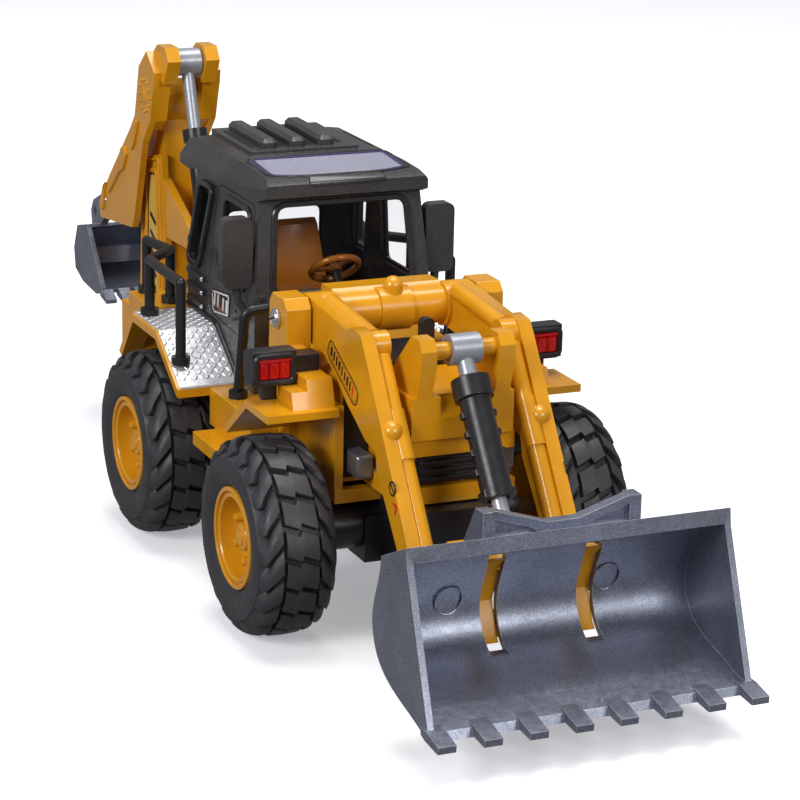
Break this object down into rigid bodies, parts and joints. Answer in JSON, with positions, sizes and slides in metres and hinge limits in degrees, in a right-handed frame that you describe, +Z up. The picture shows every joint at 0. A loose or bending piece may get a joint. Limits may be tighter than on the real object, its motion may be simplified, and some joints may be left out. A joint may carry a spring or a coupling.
{
  "type": "toy backhoe loader",
  "caption": "Toy backhoe loader with a lifting front bucket, glazed cab, treaded wheels, stabiliser legs and a swinging side-shift digging arm.",
  "frame": {"origin": "on the ground under the middle of the toy's overall box, on the middle plane between the wheels", "axes": "+Z up, -Y towards the loader bucket (forward), +Y towards the digging arm, +X to the machine's left"},
  "size_m": [0.1038, 0.3238, 0.128],
  "materials": {
    "yellow_plastic": "glossy moulded",
    "black_plastic": "satin moulded",
    "cab_plastic": "satin charcoal with fine flake",
    "bucket_metal": "blue-grey metallic, die-cast",
    "silver_plastic": "silver-grey moulded",
    "steel": "plain steel",
    "tyre_rubber": "matte rubber",
    "window_plastic": "clear",
    "red_lens": "red translucent",
    "seat_plastic": "brown moulded",
    "bright_plate": "bright chequer plate",
    "skylight_plastic": "pale tinted"
  },
  "bodies": {
    "root": {"chassis_frame": "black_plastic", "rear_deck": "yellow_plastic", "step_deck": "yellow_plastic", "front_fenders": "yellow_plastic", "nose_housing": "yellow_plastic", "radiator_grille": "black_plastic", "hood_cover": "black_plastic", "loader_uprights": "yellow_plastic", "loader_hinge_pins": "steel", "cab_shell": "cab_plastic", "cab_roof": "cab_plastic", "skylight": "skylight_plastic", "windshield": "window_plastic", "rear_window": "window_plastic", "side_windows": "window_plastic", "seat": "seat_plastic", "dashboard": "black_plastic", "steering_wheel": "seat_plastic", "mirrors": "cab_plastic", "front_handrails": "black_plastic", "rear_handrails": "black_plastic", "deck_plates": "bright_plate", "work_lamps": "black_plastic", "lamp_lenses": "red_lens", "headlamps": "silver_plastic", "rear_frame": "yellow_plastic", "slide_rails": "steel"},
    "front_wheels": {"front_axle": "steel", "front_left_tyre": "tyre_rubber", "front_left_rim": "yellow_plastic", "front_right_tyre": "tyre_rubber", "front_right_rim": "yellow_plastic"},
    "rear_wheels": {"rear_axle": "steel", "rear_left_tyre": "tyre_rubber", "rear_left_rim": "yellow_plastic", "rear_right_tyre": "tyre_rubber", "rear_right_rim": "yellow_plastic"},
    "loader_arms": {"left_loader_arm": "yellow_plastic", "right_loader_arm": "yellow_plastic", "torque_tube": "yellow_plastic", "arm_end_pins": "steel"},
    "loader_bucket": {"front_bucket": "bucket_metal", "bucket_coupler": "yellow_plastic"},
    "tilt_bush_body": {"tilt_bush": "silver_plastic"},
    "tilt_cylinder": {"tilt_cylinder_eye": "silver_plastic", "tilt_cylinder_barrel": "black_plastic"},
    "tilt_sleeve_body": {"tilt_sleeve": "black_plastic"},
    "tilt_rod": {"tilt_cylinder_rod": "silver_plastic"},
    "left_stabiliser": {"left_leg": "black_plastic"},
    "right_stabiliser": {"right_leg": "black_plastic"},
    "carriage": {"shift_carriage": "yellow_plastic", "kingpin": "steel"},
    "swing_post": {"swing_frame": "yellow_plastic", "boom_pin": "steel"},
    "boom_arm": {"boom": "yellow_plastic"},
    "stick_arm": {"stick": "yellow_plastic", "stick_pins": "steel"},
    "stick_barrel": {"stick_cylinder_barrel": "black_plastic"},
    "stick_rod": {"stick_cylinder_rod": "silver_plastic"},
    "digging_bucket": {"rear_bucket": "bucket_metal"}
  },
  "joints": [
    {"name": "front_axle_spin", "type": "hinge", "parent": "root", "child": "front_wheels", "pos_m": [0, -0.05105, 0.026], "axis": [1, 0, 0], "continuous": true},
    {"name": "rear_axle_spin", "type": "hinge", "parent": "root", "child": "rear_wheels", "pos_m": [0, 0.03395, 0.026], "axis": [1, 0, 0], "continuous": true},
    {"name": "loader_lift", "type": "hinge", "parent": "root", "child": "loader_arms", "pos_m": [0, -0.03005, 0.077], "axis": [-1, 0, 0], "range_deg": [-4, 30]},
    {"name": "bucket_tilt", "type": "hinge", "parent": "loader_arms", "child": "loader_bucket", "pos_m": [0, -0.10105, 0.027], "axis": [-1, 0, 0], "range_deg": [-40, 15]},
    {"name": "tilt_bush_turn", "type": "hinge", "parent": "root", "child": "tilt_bush_body", "pos_m": [0, -0.07755, 0.0785], "axis": [-1, 0, 0], "range_deg": [-7.1, 51.32]},
    {"name": "tilt_cylinder_turn", "type": "hinge", "parent": "tilt_bush_body", "child": "tilt_cylinder", "pos_m": [0, -0.07755, 0.0785], "axis": [-1, 0, 0], "range_deg": [-4.63, 1.93]},
    {"name": "tilt_sleeve_slide", "type": "slide", "parent": "tilt_cylinder", "child": "tilt_sleeve_body", "axis": [0, -0.5885, -0.8085], "range_m": [-0.01462, 0.00199]},
    {"name": "tilt_rod_slide", "type": "slide", "parent": "tilt_sleeve_body", "child": "tilt_rod", "axis": [0, -0.5885, -0.8085], "range_m": [-0.00248, 0.00654]},
    {"name": "left_leg_slide", "type": "slide", "parent": "root", "child": "left_stabiliser", "axis": [0, 0, -1], "range_m": [0, 0.0084]},
    {"name": "right_leg_slide", "type": "slide", "parent": "root", "child": "right_stabiliser", "axis": [0, 0, -1], "range_m": [0, 0.0084]},
    {"name": "side_shift", "type": "slide", "parent": "root", "child": "carriage", "axis": [1, 0, 0], "range_m": [-0.0035, 0.0315]},
    {"name": "boom_swing", "type": "hinge", "parent": "carriage", "child": "swing_post", "pos_m": [-0.014, 0.08395, 0.042], "axis": [0, 0, 1], "range_deg": [-50, 50]},
    {"name": "boom_lower", "type": "hinge", "parent": "swing_post", "child": "boom_arm", "pos_m": [-0.014, 0.10195, 0.055], "axis": [-1, 0, 0], "range_deg": [0, 50]},
    {"name": "stick_reach", "type": "hinge", "parent": "boom_arm", "child": "stick_arm", "pos_m": [-0.014, 0.09695, 0.112], "axis": [1, 0, 0], "range_deg": [-4, 60]},
    {"name": "dig_bucket_open", "type": "hinge", "parent": "stick_arm", "child": "digging_bucket", "pos_m": [-0.014, 0.13595, 0.072], "axis": [1, 0, 0], "range_deg": [-12, 75]},
    {"name": "stick_cylinder_turn", "type": "hinge", "parent": "boom_arm", "child": "stick_barrel", "pos_m": [-0.014, 0.07045, 0.074], "axis": [1, 0, 0], "range_deg": [-0.49, 3.22]},
    {"name": "stick_rod_slide", "type": "slide", "parent": "stick_barrel", "child": "stick_rod", "axis": [0, 0.3448, 0.9387], "range_m": [-0.01389, 0.00097]}
  ],
  "couplings": [
    {"joint": "tilt_bush_turn", "follows": "loader_lift", "ratio": 1.7006},
    {"joint": "tilt_cylinder_turn", "follows": "bucket_tilt", "ratio": 0.10838},
    {"joint": "tilt_sleeve_slide", "follows": "loader_lift", "m_per_rad": -0.027832},
    {"joint": "tilt_rod_slide", "follows": "bucket_tilt", "m_per_rad": -0.00929},
    {"joint": "stick_cylinder_turn", "follows": "stick_reach", "ratio": 0.048635},
    {"joint": "stick_rod_slide", "follows": "stick_reach", "m_per_rad": -0.013219}
  ]
}
